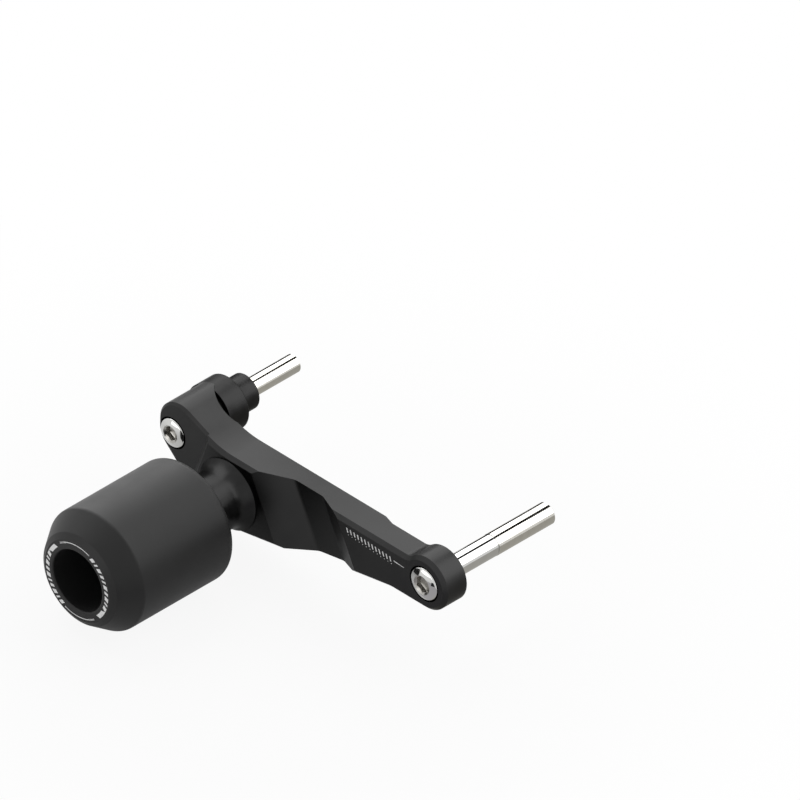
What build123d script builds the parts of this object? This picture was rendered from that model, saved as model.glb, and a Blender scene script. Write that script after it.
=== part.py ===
from build123d import *
import math
import os

# Motorcycle frame slider: a milled arm held to the frame by two bolts, with a
# sacrificial puck standing off its outer face.
# Millimetres. X runs along the bolts, from the puck to the motorcycle's frame.
# Y runs from the lower bolt to the upper bolt, and Z is up.
# The origin is on the lower bolt's axis, at the back of the arm's lower boss.

os.makedirs("parts", exist_ok=True)

# Where the three bolt axes stand
UPPER_Y, UPPER_Z = 173.2, 1.7
PUCK_Y, PUCK_Z = 132.3, -12.9

# Arm, side outline
BOSS_R = 15.0               # lower boss
TOP_Z = 9.8                 # level top edge
NECK_BLEND = 8.0            # between the level top edge and the lower boss
RISE_BACK = 32.1            # the top edge turns up this far short of the upper bolt
RISE_ANGLE = 23.4
RISE_BLEND = 48.0
DROP_START_Y = 24.0         # where the bottom edge turns down
DROP_ANGLE = 9.9
DROP_BLEND = 30.0
HEEL_ANGLE = 42.7           # edge from the bottom corner up to the lobe
HEEL_REACH = 10.4           # how far beyond the upper bolt axis that edge passes
HEEL_BLEND = 20.0
LOBE_R = 14.4
LOBE_REACH = 10.0           # how far the lobe reaches beyond the upper bolt axis
LOBE_CORNER = 14.0

# Arm, depths along X
LOWER_FACE_X = -15.0
PAD_FACE_X = -18.9
LOBE_FACE_X = -16.9
PAD_REACH = 21.1            # the pad's face ends this far beyond the puck's axis
PAD_ANGLE = 18.3            # lean of that end
PAD_RAMP = 2.85             # slope from there down to the lobe's face
INNER_X = 2.0
INNER_STEP_Y = 37.0         # the inner face steps in here, next to the lower boss
INNER_STEP_RUN = 6.5
LOBE_BACK_X = 8.5
RELIEF_R = 19.7             # hollow milled beside the lobe's back
RELIEF_X = 0.6              # its deepest point
RELIEF_BACK = 19.2          # its axis, this far short of the bolt axis
BACK_BOSS_R = 12.5
EDGE = 2.0                  # chamfer round the outer edges
LOBE_EDGE = 1.3             # the same round the lobe's free end

# Arm, scallop across the outer face
SCALLOP_X = -8.7
SCALLOP_LOW_Y, SCALLOP_HIGH_Y = 72.1, 90.9
SCALLOP_LOW_SLOPE = 0.404
SCALLOP_HIGH_SLOPE = 0.465
SCALLOP_LEAN = 0.5
SCALLOP_BLEND = 6.0

# Fits
BOLT_CLEARANCE = 0.25       # on the radius, bolt shank in a hole
HEAD_CLEARANCE = 0.9        # on the radius, bolt head in its counterbore
THREAD_CLEARANCE = 0.05     # on the radius, thread in its tapped hole
PRESS_CLEARANCE = 0.05      # on the radius, crush sleeve in the puck
BREAK = 0.5                 # small edge break
TIP = 1.2                   # chamfer on a bolt's tip

# Lower bolt, M12 low head
LOWER_THREAD_R = 6.0
LOWER_SHANK_R = 5.85
LOWER_HEAD_R, LOWER_HEAD_H = 9.0, 7.0
LOWER_HEX = 8.0
LOWER_PROUD = 0.4           # the head stands this far out of the arm's face
LOWER_LENGTH = 80.0
LOWER_THREAD = 40.0

# Upper bolt, M10 low head
UPPER_THREAD_R = 5.0
UPPER_SHANK_R = 4.85
UPPER_HEAD_R, UPPER_HEAD_H = 8.0, 6.0
UPPER_HEX = 7.0
UPPER_PROUD = 0.6
UPPER_LENGTH = 80.0
UPPER_THREAD = 32.0
HEX_DEPTH = 3.6

# Spacer behind the arm, round the upper bolt
SPACER_R, SPACER_LENGTH = 15.0, 13.4
NOSE_R, NOSE_LENGTH = 9.8, 12.4

# Standoff between the arm and the puck
STANDOFF_R = 16.0
STANDOFF_FOOT_R = 19.7
STANDOFF_FOOT = 4.8         # length of the flared foot
STANDOFF_LENGTH = 34.1

# Puck
PUCK_OUTER_X, PUCK_INNER_X = -124.0, -46.6
PUCK_FACE_R = 22.6
PUCK_R = 33.4
PUCK_LIP_X, PUCK_LIP_R = -121.9, 25.6    # between the steep lip round the face and the nose
PUCK_SHOULDER_X = -110.3    # the cone of the nose ends here
PUCK_INNER_BLEND = 4.5
WELL_R, WELL_DEPTH = 17.0, 38.0
RIM_WALL = 6.6              # round the recess in the inner end

# Crush sleeve, washer and bolt inside the puck
SLEEVE_R = 10.0
WASHER_R, WASHER_T = 15.0, 2.5
PUCK_BOLT_R = 6.0
PUCK_HEAD_R, PUCK_HEAD_H = 9.0, 12.0
PUCK_HEX, PUCK_HEX_DEPTH = 10.0, 6.0
PUCK_BOLT_LENGTH = 90.0

# Places that follow from the sizes above
reach = UPPER_Y             # long enough to cut right through the arm
lower_seat_x = LOWER_FACE_X - LOWER_PROUD + LOWER_HEAD_H
upper_seat_x = LOBE_FACE_X - UPPER_PROUD + UPPER_HEAD_H
standoff_end_x = PAD_FACE_X - STANDOFF_LENGTH
well_floor_x = PUCK_OUTER_X + WELL_DEPTH
washer_x = well_floor_x - WASHER_T
recess_r = PUCK_R - RIM_WALL

rise = math.tan(math.radians(RISE_ANGLE))
drop = math.tan(math.radians(DROP_ANGLE))
heel = math.tan(math.radians(HEEL_ANGLE))
lobe_side_y = UPPER_Y + LOBE_REACH
rise_start_y = UPPER_Y - RISE_BACK


def rising_edge(y):
    return TOP_Z + rise * (y - rise_start_y)


def bottom_edge(y):
    return -BOSS_R - drop * (y - DROP_START_Y)


def heel_edge(y):
    return UPPER_Z + heel * (y - UPPER_Y) - HEEL_REACH / math.cos(math.radians(HEEL_ANGLE))


corner_y = (-BOSS_R + drop * DROP_START_Y - heel_edge(0)) / (heel + drop)

with BuildSketch(Plane.YZ) as side:
    Polygon(
        (0, TOP_Z), (rise_start_y, TOP_Z), (lobe_side_y, rising_edge(lobe_side_y)),
        (lobe_side_y, heel_edge(lobe_side_y)), (corner_y, bottom_edge(corner_y)),
        (DROP_START_Y, -BOSS_R), (0, -BOSS_R), align=None,
    )
    Circle(BOSS_R)
    for at, radius in (
        ((math.sqrt(BOSS_R**2 - TOP_Z**2), TOP_Z), NECK_BLEND),
        ((rise_start_y, TOP_Z), RISE_BLEND),
        ((lobe_side_y, rising_edge(lobe_side_y)), LOBE_R),
        ((lobe_side_y, heel_edge(lobe_side_y)), LOBE_CORNER),
        ((corner_y, bottom_edge(corner_y)), HEEL_BLEND),
        ((DROP_START_Y, -BOSS_R), DROP_BLEND),
    ):
        fillet(side.vertices().sort_by_distance((at[0], at[1], 0))[0], radius)


def slab(low_y, high_y):
    block = Box(4 * reach, high_y - low_y, 4 * reach, mode=Mode.PRIVATE)
    return Pos(0, (low_y + high_y) / 2, 0) * block


def outer_loop(piece):
    return piece.faces().sort_by(Axis.X)[0].outer_wire().edges()


scallop_mid_y = (SCALLOP_LOW_Y + SCALLOP_HIGH_Y) / 2
pad_angle = math.radians(PAD_ANGLE)
pad_end = Plane(
    origin=(0, PUCK_Y, PUCK_Z), x_dir=(1, 0, 0),
    z_dir=(0, -math.sin(pad_angle), math.cos(pad_angle)),
)

# Lower stretch of the arm, with the lower boss
with BuildPart() as lower_stretch:
    with Locations((LOWER_FACE_X, 0, 0)):
        add(side.sketch)
    extrude(amount=INNER_X - LOWER_FACE_X, dir=(1, 0, 0))
    chamfer(outer_loop(lower_stretch), EDGE)
    add(slab(-2 * BOSS_R, scallop_mid_y), mode=Mode.INTERSECT)

# Stretch that carries the puck, standing proud of the lobe's face
with BuildPart() as pad_stretch:
    with Locations((PAD_FACE_X, 0, 0)):
        add(side.sketch)
    extrude(amount=INNER_X - PAD_FACE_X, dir=(1, 0, 0))
    chamfer(outer_loop(pad_stretch), EDGE)
    add(slab(scallop_mid_y, lobe_side_y), mode=Mode.INTERSECT)
    with BuildSketch(pad_end):
        Polygon(
            (PAD_FACE_X, PAD_REACH), (LOBE_FACE_X, PAD_REACH + PAD_RAMP),
            (reach, PAD_REACH + PAD_RAMP), (reach, 2 * reach), (PAD_FACE_X, 2 * reach),
            align=None,
        )
    extrude(amount=reach, both=True, mode=Mode.SUBTRACT)

# Lobe round the upper bolt, chamfered round its free end and underneath
with BuildPart() as lobe:
    with Locations((LOBE_FACE_X, 0, 0)):
        add(side.sketch)
    extrude(amount=LOBE_BACK_X - LOBE_FACE_X, dir=(1, 0, 0))
    free_edges = outer_loop(lobe).filter_by(
        lambda e: e.center().Z < rising_edge(e.center().Y) - EDGE
    )
    chamfer(free_edges, LOBE_EDGE)
    add(slab(PUCK_Y, lobe_side_y), mode=Mode.INTERSECT)

with BuildPart() as arm:
    add(lower_stretch.part)
    add(pad_stretch.part)
    add(lobe.part)
    # Inner face, with its step beside the lower boss and the relief beside the lobe
    with BuildPart(mode=Mode.PRIVATE) as inner_cut:
        relief_y = UPPER_Y - RELIEF_BACK
        with BuildSketch(Plane.XY):
            Polygon(
                (0, -reach), (0, INNER_STEP_Y), (INNER_X, INNER_STEP_Y + INNER_STEP_RUN),
                (INNER_X, relief_y), (reach, relief_y), (reach, -reach), align=None,
            )
            with Locations((RELIEF_X + RELIEF_R, relief_y)):
                Circle(RELIEF_R)
        extrude(amount=reach, both=True)
        with Locations(Pos(LOBE_BACK_X / 2, UPPER_Y, UPPER_Z) * Rot(0, 90, 0)):
            Cylinder(BACK_BOSS_R, LOBE_BACK_X, mode=Mode.SUBTRACT)
    add(inner_cut.part, mode=Mode.SUBTRACT)
    # Scallop, leaning with the puck
    with BuildPart(mode=Mode.PRIVATE) as scallop:
        out = SCALLOP_X + reach
        with BuildSketch(Plane.XY):
            Polygon(
                (SCALLOP_X, SCALLOP_LOW_Y), (SCALLOP_X, SCALLOP_HIGH_Y),
                (SCALLOP_X - out, SCALLOP_HIGH_Y + out / SCALLOP_HIGH_SLOPE),
                (SCALLOP_X - out, SCALLOP_LOW_Y - out / SCALLOP_LOW_SLOPE), align=None,
            )
        extrude(amount=reach, dir=(0, SCALLOP_LEAN, 1), both=True)
        fillet(scallop.edges().group_by(Axis.X)[-1].sort_by(Axis.Y), SCALLOP_BLEND)
    add(scallop.part, mode=Mode.SUBTRACT)
    # Counterbored hole for each frame bolt
    with Locations(Pos(LOWER_FACE_X, 0, 0) * Rot(0, -90, 0)):
        CounterBoreHole(
            LOWER_THREAD_R + BOLT_CLEARANCE, LOWER_HEAD_R + HEAD_CLEARANCE,
            lower_seat_x - LOWER_FACE_X, reach,
        )
    with Locations(Pos(LOBE_FACE_X, UPPER_Y, UPPER_Z) * Rot(0, -90, 0)):
        CounterBoreHole(
            UPPER_THREAD_R + BOLT_CLEARANCE, UPPER_HEAD_R + HEAD_CLEARANCE,
            upper_seat_x - LOBE_FACE_X, reach,
        )
    # Tapped hole for the puck's bolt
    with Locations(Pos(PAD_FACE_X, PUCK_Y, PUCK_Z) * Rot(0, -90, 0)):
        Hole(PUCK_BOLT_R + THREAD_CLEARANCE, reach)

arm.part.label = "arm"
export_step(arm.part, "parts/arm.step")

# Each turned piece below is drawn as a half section, along X and out from its axis
upper_axis = Axis((0, UPPER_Y, UPPER_Z), (1, 0, 0))
puck_axis = Axis((0, PUCK_Y, PUCK_Z), (1, 0, 0))
upper_half = Plane(origin=(0, UPPER_Y, UPPER_Z), x_dir=(1, 0, 0), z_dir=(0, -1, 0))
puck_half = Plane(origin=(0, PUCK_Y, PUCK_Z), x_dir=(1, 0, 0), z_dir=(0, -1, 0))


def hex_plane(x, y, z):
    return Plane(origin=(x, y, z), x_dir=(0, 1, 0), z_dir=(1, 0, 0))


with BuildPart() as lower_bolt:
    head_x = lower_seat_x - LOWER_HEAD_H
    tip_x = lower_seat_x + LOWER_LENGTH
    thread_x = tip_x - LOWER_THREAD
    with BuildSketch(Plane.XZ):
        Polygon(
            (head_x, 0), (head_x, LOWER_HEAD_R - BREAK), (head_x + BREAK, LOWER_HEAD_R),
            (lower_seat_x, LOWER_HEAD_R), (lower_seat_x, LOWER_SHANK_R),
            (thread_x, LOWER_SHANK_R), (thread_x + BREAK, LOWER_THREAD_R),
            (tip_x - TIP, LOWER_THREAD_R), (tip_x, LOWER_THREAD_R - TIP), (tip_x, 0),
            align=None,
        )
    revolve(axis=Axis.X)
    with BuildSketch(hex_plane(head_x, 0, 0)):
        RegularPolygon(LOWER_HEX / 2, 6, major_radius=False)
    extrude(amount=HEX_DEPTH, mode=Mode.SUBTRACT)

lower_bolt.part.label = "lower_bolt"
export_step(lower_bolt.part, "parts/lower_bolt.step")

with BuildPart() as upper_bolt:
    head_x = upper_seat_x - UPPER_HEAD_H
    tip_x = upper_seat_x + UPPER_LENGTH
    thread_x = tip_x - UPPER_THREAD
    with BuildSketch(upper_half):
        Polygon(
            (head_x, 0), (head_x, UPPER_HEAD_R - BREAK), (head_x + BREAK, UPPER_HEAD_R),
            (upper_seat_x, UPPER_HEAD_R), (upper_seat_x, UPPER_SHANK_R),
            (thread_x, UPPER_SHANK_R), (thread_x + BREAK, UPPER_THREAD_R),
            (tip_x - TIP, UPPER_THREAD_R), (tip_x, UPPER_THREAD_R - TIP), (tip_x, 0),
            align=None,
        )
    revolve(axis=upper_axis)
    with BuildSketch(hex_plane(head_x, UPPER_Y, UPPER_Z)):
        RegularPolygon(UPPER_HEX / 2, 6, major_radius=False)
    extrude(amount=HEX_DEPTH, mode=Mode.SUBTRACT)

upper_bolt.part.label = "upper_bolt"
export_step(upper_bolt.part, "parts/upper_bolt.step")

with BuildPart() as upper_spacer:
    step_x = LOBE_BACK_X + SPACER_LENGTH
    end_x = step_x + NOSE_LENGTH
    hole_r = UPPER_THREAD_R + BOLT_CLEARANCE
    with BuildSketch(upper_half):
        Polygon(
            (LOBE_BACK_X, hole_r), (LOBE_BACK_X, SPACER_R), (step_x, SPACER_R),
            (step_x, NOSE_R), (end_x, NOSE_R), (end_x, hole_r), align=None,
        )
    revolve(axis=upper_axis)

upper_spacer.part.label = "upper_spacer"
export_step(upper_spacer.part, "parts/upper_spacer.step")

with BuildPart() as standoff:
    hole_r = PUCK_BOLT_R + BOLT_CLEARANCE
    foot_x = PAD_FACE_X - STANDOFF_FOOT
    with BuildSketch(puck_half):
        Polygon(
            (standoff_end_x, hole_r), (standoff_end_x, STANDOFF_R), (foot_x, STANDOFF_R),
            (PAD_FACE_X - BREAK, STANDOFF_FOOT_R), (PAD_FACE_X, STANDOFF_FOOT_R),
            (PAD_FACE_X, hole_r), align=None,
        )
    revolve(axis=puck_axis)

standoff.part.label = "standoff"
export_step(standoff.part, "parts/standoff.step")

with BuildPart() as puck:
    bore_r = SLEEVE_R + PRESS_CLEARANCE
    with BuildSketch(puck_half):
        Polygon(
            (PUCK_OUTER_X, WELL_R), (PUCK_OUTER_X, PUCK_FACE_R), (PUCK_LIP_X, PUCK_LIP_R),
            (PUCK_SHOULDER_X, PUCK_R), (PUCK_INNER_X, PUCK_R), (PUCK_INNER_X, recess_r),
            (standoff_end_x, recess_r), (standoff_end_x, bore_r), (well_floor_x, bore_r),
            (well_floor_x, WELL_R), align=None,
        )
    revolve(axis=puck_axis)
    rim = puck.edges().filter_by(GeomType.CIRCLE).filter_by(
        lambda e: abs(e.center().X - PUCK_INNER_X) < 0.01 and abs(e.radius - PUCK_R) < 0.01
    )
    fillet(rim, PUCK_INNER_BLEND)

puck.part.label = "puck"
export_step(puck.part, "parts/puck.step")

with BuildPart() as puck_sleeve:
    with BuildSketch(puck_half):
        Polygon(
            (well_floor_x, PUCK_BOLT_R + BOLT_CLEARANCE), (well_floor_x, SLEEVE_R),
            (standoff_end_x, SLEEVE_R), (standoff_end_x, PUCK_BOLT_R + BOLT_CLEARANCE),
            align=None,
        )
    revolve(axis=puck_axis)

puck_sleeve.part.label = "puck_sleeve"
export_step(puck_sleeve.part, "parts/puck_sleeve.step")

with BuildPart() as puck_washer:
    with BuildSketch(puck_half):
        Polygon(
            (washer_x, PUCK_BOLT_R + BOLT_CLEARANCE), (washer_x, WASHER_R),
            (well_floor_x, WASHER_R), (well_floor_x, PUCK_BOLT_R + BOLT_CLEARANCE),
            align=None,
        )
    revolve(axis=puck_axis)

puck_washer.part.label = "puck_washer"
export_step(puck_washer.part, "parts/puck_washer.step")

with BuildPart() as puck_bolt:
    head_x = washer_x - PUCK_HEAD_H
    tip_x = washer_x + PUCK_BOLT_LENGTH
    with BuildSketch(puck_half):
        Polygon(
            (head_x, 0), (head_x, PUCK_HEAD_R), (washer_x, PUCK_HEAD_R),
            (washer_x, PUCK_BOLT_R), (tip_x - TIP, PUCK_BOLT_R), (tip_x, PUCK_BOLT_R - TIP),
            (tip_x, 0), align=None,
        )
    revolve(axis=puck_axis)
    with BuildSketch(hex_plane(head_x, PUCK_Y, PUCK_Z)):
        RegularPolygon(PUCK_HEX / 2, 6, major_radius=False)
    extrude(amount=PUCK_HEX_DEPTH, mode=Mode.SUBTRACT)

puck_bolt.part.label = "puck_bolt"
export_step(puck_bolt.part, "parts/puck_bolt.step")
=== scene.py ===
"""Dresses the motorcycle frame slider: finishes, rounded edges, threads, sockets and printed marks.

Lengths are millimetres, in the part's own frame: X along the bolts from the puck to the motorcycle,
Y from the lower bolt to the upper bolt, Z up.
"""
import logging
import math
from collections.abc import Callable, Sequence
from dataclasses import dataclass
from enum import Enum, IntEnum

import bmesh
import bpy
from bpy.types import Material, Mesh, Node, NodeSocket, NodeTree, Object, World
from mathutils import Matrix, Vector


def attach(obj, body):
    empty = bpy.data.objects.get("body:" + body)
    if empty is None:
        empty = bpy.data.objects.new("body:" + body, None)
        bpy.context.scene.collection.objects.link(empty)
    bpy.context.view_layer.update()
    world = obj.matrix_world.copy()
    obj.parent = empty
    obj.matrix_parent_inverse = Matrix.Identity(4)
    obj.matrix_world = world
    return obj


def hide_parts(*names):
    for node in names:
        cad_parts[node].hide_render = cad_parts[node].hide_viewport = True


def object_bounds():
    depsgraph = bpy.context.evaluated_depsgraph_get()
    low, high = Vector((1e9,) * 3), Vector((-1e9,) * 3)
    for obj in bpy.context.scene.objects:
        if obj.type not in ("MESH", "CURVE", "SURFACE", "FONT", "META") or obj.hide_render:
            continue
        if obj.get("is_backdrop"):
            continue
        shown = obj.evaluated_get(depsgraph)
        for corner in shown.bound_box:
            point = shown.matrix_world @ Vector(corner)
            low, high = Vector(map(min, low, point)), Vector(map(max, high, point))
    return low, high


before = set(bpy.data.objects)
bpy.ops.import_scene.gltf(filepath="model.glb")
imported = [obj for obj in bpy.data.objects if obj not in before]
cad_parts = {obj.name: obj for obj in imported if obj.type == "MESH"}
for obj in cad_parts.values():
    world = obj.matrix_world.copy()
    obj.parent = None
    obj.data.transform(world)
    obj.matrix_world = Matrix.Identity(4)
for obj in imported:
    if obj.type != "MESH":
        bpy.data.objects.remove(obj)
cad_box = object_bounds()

log = logging.getLogger("frame_slider")

Radius = Callable[[float], float]
Point = tuple[float, float]
Place = tuple[float, float, float]

MM = 0.001
BODY = "root"
LOWER_AXIS: Point = (0.0, 0.0)         # each axis runs along X at this Y and Z
UPPER_AXIS: Point = (173.2, 1.7)
PUCK_AXIS: Point = (132.3, -12.9)
ALONG_BOLTS: Place = (1.0, 0.0, 0.0)
UPWARD: Place = (0.0, 0.0, 1.0)
DOWNWARD: Place = (0.0, 0.0, -1.0)
OVERHEAD: Place = (0.577, 0.04, 0.816)  # the way to what a bolt mirrors along its middle,
BEHIND: Place = (0.58, 0.81, 0.0)      # at its far edge
BESIDE: Place = (0.58, -0.81, 0.0)     # and in its lower band
WAVE_RATE = 20.0                       # radians that a wave texture turns in one unit of length


class Slot(Enum):
    """Names of material slots for the replaced pieces; nothing here gives a piece a slot."""

    TURNED = "turned_alloy"
    PUCK = "puck_plastic"
    BOLT = "bolt_steel"
    HIDDEN = "hidden_steel"


class BoltFace(IntEnum):
    """The kinds of face on a frame bolt, each with the number of its finish."""

    POLISHED = 0
    ROLLED = 1
    BROACHED = 2


def linear(colour: str) -> tuple[float, float, float, float]:
    """Turns an sRGB hex colour to linear values.

    Args:
        colour: six hex digits after a hash sign.

    Returns:
        Red, green, blue and an alpha of one.
    """
    parts = [int(colour[i:i + 2], 16) / 255 for i in (1, 3, 5)]
    red, green, blue = (c / 12.92 if c <= 0.04045 else ((c + 0.055) / 1.055) ** 2.4 for c in parts)
    return red, green, blue, 1.0


def add_node(
    tree: NodeTree, kind: str, settings: dict | None = None, links: dict | None = None
) -> Node:
    """Adds a node with its settings and links.

    Args:
        tree: the node tree that takes the node.
        kind: the node's type name.
        settings: values by property name, or by the name or number of an input.
        links: output sockets, by the name or number of the input that each feeds.

    Returns:
        The new node.
    """
    node = tree.nodes.new(kind)
    for name, value in (settings or {}).items():
        if isinstance(name, str) and hasattr(node, name):
            setattr(node, name, value)
        else:
            node.inputs[name].default_value = value
    for name, source in (links or {}).items():
        tree.links.new(source, node.inputs[name])
    return node


@dataclass(frozen=True)
class Finish:
    """A surface whose tone and polish drift a little from place to place."""

    name: str
    tones: tuple[str, str]             # the darkest and the lightest colour of the drift
    roughness: tuple[float, float]
    patch: float                       # width of the drift's patches in millimetres

    def constants(self) -> dict[str, float | tuple]:
        """Gives the shader's values that are the same all over."""
        return {}

    def relief(self, tree: NodeTree, place: NodeSocket) -> NodeSocket | None:
        """Gives the normal of the surface's relief, or none where it is flat."""
        return None

    def lumps(
        self, tree: NodeTree, place: NodeSocket, width: float, depth: float, detail: float
    ) -> NodeSocket:
        """Lays soft lumps over the surface.

        Args:
            tree: the material's nodes.
            place: where a point is, in millimetres.
            width: the lumps' width in millimetres.
            depth: their depth in millimetres.
            detail: how many finer layers lie on them.

        Returns:
            The normal.
        """
        noise = add_node(
            tree, "ShaderNodeTexNoise", {"Scale": 1 / width, "Detail": detail}, {"Vector": place}
        )
        bump = add_node(
            tree, "ShaderNodeBump", {"Distance": depth * MM}, {"Height": noise.outputs["Fac"]}
        )
        return bump.outputs["Normal"]

    def build(self) -> Material:
        """Makes the material.

        Returns:
            A material whose patterns are measured in millimetres.
        """
        material = bpy.data.materials.new(self.name)
        material.use_nodes = True
        tree = material.node_tree
        shader = tree.nodes["Principled BSDF"]
        for socket, value in self.constants().items():
            shader.inputs[socket].default_value = value
        where = add_node(tree, "ShaderNodeTexCoord")
        scaled = add_node(
            tree, "ShaderNodeVectorMath", {"operation": "SCALE", "Scale": 1 / MM},
            {"Vector": where.outputs["Object"]},
        )
        place = scaled.outputs["Vector"]
        patches = add_node(
            tree, "ShaderNodeTexNoise", {"Scale": 1 / self.patch, "Detail": 2.0}, {"Vector": place}
        )
        drift = add_node(
            tree, "ShaderNodeMapRange", {"From Min": 0.3, "From Max": 0.7},
            {"Value": patches.outputs["Fac"]},
        )
        # A colour mix takes its colours at inputs 6 and 7 and gives its own at output 2
        tone = add_node(
            tree, "ShaderNodeMix",
            {"data_type": "RGBA", 6: linear(self.tones[0]), 7: linear(self.tones[1])},
            {0: drift.outputs["Result"]},
        )
        low, high = self.roughness
        polish = add_node(
            tree, "ShaderNodeMapRange", {"To Min": low, "To Max": high},
            {"Value": drift.outputs["Result"]},
        )
        tree.links.new(tone.outputs[2], shader.inputs["Base Color"])
        tree.links.new(polish.outputs["Result"], shader.inputs["Roughness"])
        normal = self.relief(tree, place)
        if normal:
            tree.links.new(normal, shader.inputs["Normal"])
        return material


@dataclass(frozen=True)
class BlastedAnodised(Finish):
    """Aluminium, milled, bead blasted and anodised black: an even satin with soft highlights."""

    name: str = "anodised_aluminium_bead_blasted"
    tones: tuple[str, str] = ("#333333", "#373737")
    roughness: tuple[float, float] = (0.34, 0.42)
    patch: float = 16.0
    grit: float = 0.40                 # blasting grit of 0.1 mm, drawn coarser so that it shows
    grit_depth: float = 0.006
    edge_tint: str = "#dcdcdc"         # the dyed oxide keeps grazing reflections down

    def constants(self) -> dict[str, float | tuple]:
        """Gives dyed metal with muted grazing reflections."""
        return {"Metallic": 1.0, "Specular Tint": linear(self.edge_tint)}

    def relief(self, tree: NodeTree, place: NodeSocket) -> NodeSocket:
        """Gives a fine pitted skin."""
        return self.lumps(tree, place, self.grit, self.grit_depth, detail=1.0)


@dataclass(frozen=True)
class Turned(Finish):
    """A surface from the lathe: faint rings round the axis, over soft waves."""

    feed: float = 0.45                 # lathe feed of 0.1 mm, drawn coarser so that it shows
    feed_depth: float = 0.003
    wave: float = 9.0
    wave_depth: float = 0.0

    def relief(self, tree: NodeTree, place: NodeSocket) -> NodeSocket:
        """Gives the rings, laid over the waves.

        Args:
            tree: the material's nodes.
            place: where a point is, in millimetres.

        Returns:
            The normal.
        """
        waves = self.lumps(tree, place, self.wave, self.wave_depth, detail=0.0)
        rings = add_node(
            tree, "ShaderNodeTexWave",
            {"bands_direction": "X", "Scale": math.tau / WAVE_RATE / self.feed, "Distortion": 0.4},
            {"Vector": place},
        )
        fine = add_node(
            tree, "ShaderNodeBump", {"Distance": self.feed_depth * MM},
            {"Height": rings.outputs["Fac"], "Normal": waves},
        )
        return fine.outputs["Normal"]


@dataclass(frozen=True)
class TurnedAnodised(Turned):
    """Aluminium turned and anodised black: glossier than the arm, with blotchy reflections."""

    name: str = "anodised_aluminium_turned"
    tones: tuple[str, str] = ("#292929", "#303030")
    roughness: tuple[float, float] = (0.28, 0.40)
    patch: float = 7.0
    wave: float = 10.0
    wave_depth: float = 0.55           # handling and tumbling waves, which break up reflections
    edge_tint: str = "#cccccc"

    def constants(self) -> dict[str, float | tuple]:
        """Gives dyed metal with muted grazing reflections."""
        return {"Metallic": 1.0, "Specular Tint": linear(self.edge_tint)}


@dataclass(frozen=True)
class TurnedAcetal(Turned):
    """Black acetal turned from bar: a dark waxy plastic with a broad sheen."""

    name: str = "acetal_black_turned"
    tones: tuple[str, str] = ("#1e1e1e", "#222222")
    roughness: tuple[float, float] = (0.42, 0.50)
    patch: float = 22.0
    feed: float = 0.50                 # lathe feed of 0.15 mm, drawn coarser so that it shows
    index: float = 1.48
    sheen_level: float = 0.25          # the lathe's fine grooves scatter much of the sheen

    def constants(self) -> dict[str, float | tuple]:
        """Gives a plastic's index and a weak sheen."""
        return {"IOR": self.index, "Specular IOR Level": self.sheen_level}


@dataclass(frozen=True)
class BareMetal(Finish):
    """Bare metal: its tone, polish and waves tell a polished, rolled or broached face."""

    wave: float = 6.0
    wave_depth: float = 0.010

    def constants(self) -> dict[str, float | tuple]:
        """Gives plain metal."""
        return {"Metallic": 1.0}

    def relief(self, tree: NodeTree, place: NodeSocket) -> NodeSocket:
        """Gives soft waves."""
        return self.lumps(tree, place, self.wave, self.wave_depth, detail=1.0)


# Ground and buffed stainless steel: clear bright bands along the shank and round the head
POLISHED = BareMetal(
    "stainless_steel_polished", ("#c6c6c4", "#cdcdcb"), (0.03, 0.05), patch=6.0,
    wave_depth=0.005,
)
# Cold rolled thread: duller and a little warm next to the polished shank
ROLLED = BareMetal(
    "stainless_steel_rolled_thread", ("#c5c3bc", "#cccac4"), (0.05, 0.09), patch=2.5
)
# Socket walls cut by a broach: greyer and uneven
BROACHED = BareMetal(
    "stainless_steel_broached", ("#9c9a96", "#b2b0ab"), (0.18, 0.30), patch=1.4,
    wave=1.4, wave_depth=0.030,
)
# Dark plated steel, seen only at the bottom of the puck's well
PLATED = BareMetal("steel_zinc_plated_dark", ("#3a3a3d", "#4a4a4d"), (0.30, 0.42), patch=3.0)
# Turned aluminium left bare, inside the puck
BARE_ALLOY = BareMetal("aluminium_turned", ("#c2c3c5", "#cfd0d2"), (0.22, 0.32), patch=2.0)
# Pad printed ink: flat white that stands a hair above the surface, its cover a little uneven
PAD_PRINT = Finish("pad_print_ink_white", ("#dadada", "#f0f0f0"), (0.45, 0.55), patch=0.8)


@dataclass(frozen=True)
class Corner:
    """One corner of a turned outline: its place along X, its radius and how it is rounded."""

    x: float
    r: float
    round_off: float = 0.0
    shape: Radius | None = None        # the radius at an angle, where it changes round the axis

    def radius(self, turn: float) -> float:
        """Gives the radius at an angle about the axis, in radians."""
        return self.shape(turn) if self.shape else self.r


def round_corners(outline: Sequence[Corner], closed: bool, step: float = 7.0) -> list[Corner]:
    """Puts an arc in the place of each corner that has a round_off radius.

    Args:
        outline: the corners in order.
        closed: whether the last corner joins the first.
        step: degrees that each piece of an arc turns.

    Returns:
        The corners of the finer outline.
    """
    finer = []
    count = len(outline)
    for i, corner in enumerate(outline):
        if not corner.round_off or (not closed and i in (0, count - 1)):
            finer.append(corner)
            continue
        here = Vector((corner.x, corner.r))
        back = Vector((outline[i - 1].x, outline[i - 1].r)) - here
        ahead = Vector((outline[(i + 1) % count].x, outline[(i + 1) % count].r)) - here
        half = back.angle(ahead) / 2
        reach = corner.round_off / math.tan(half)
        back.normalize()
        ahead.normalize()
        centre = here + (back + ahead).normalized() * (corner.round_off / math.sin(half))
        first = here + back * reach - centre
        sweep = first.angle_signed(here + ahead * reach - centre)
        pieces = max(2, round(math.degrees(abs(sweep)) / step))
        for k in range(pieces + 1):
            turn = -sweep * k / pieces
            spoke = Matrix.Rotation(turn, 2) @ first
            finer.append(Corner(centre.x + spoke.x, centre.y + spoke.y))
    return finer


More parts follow.
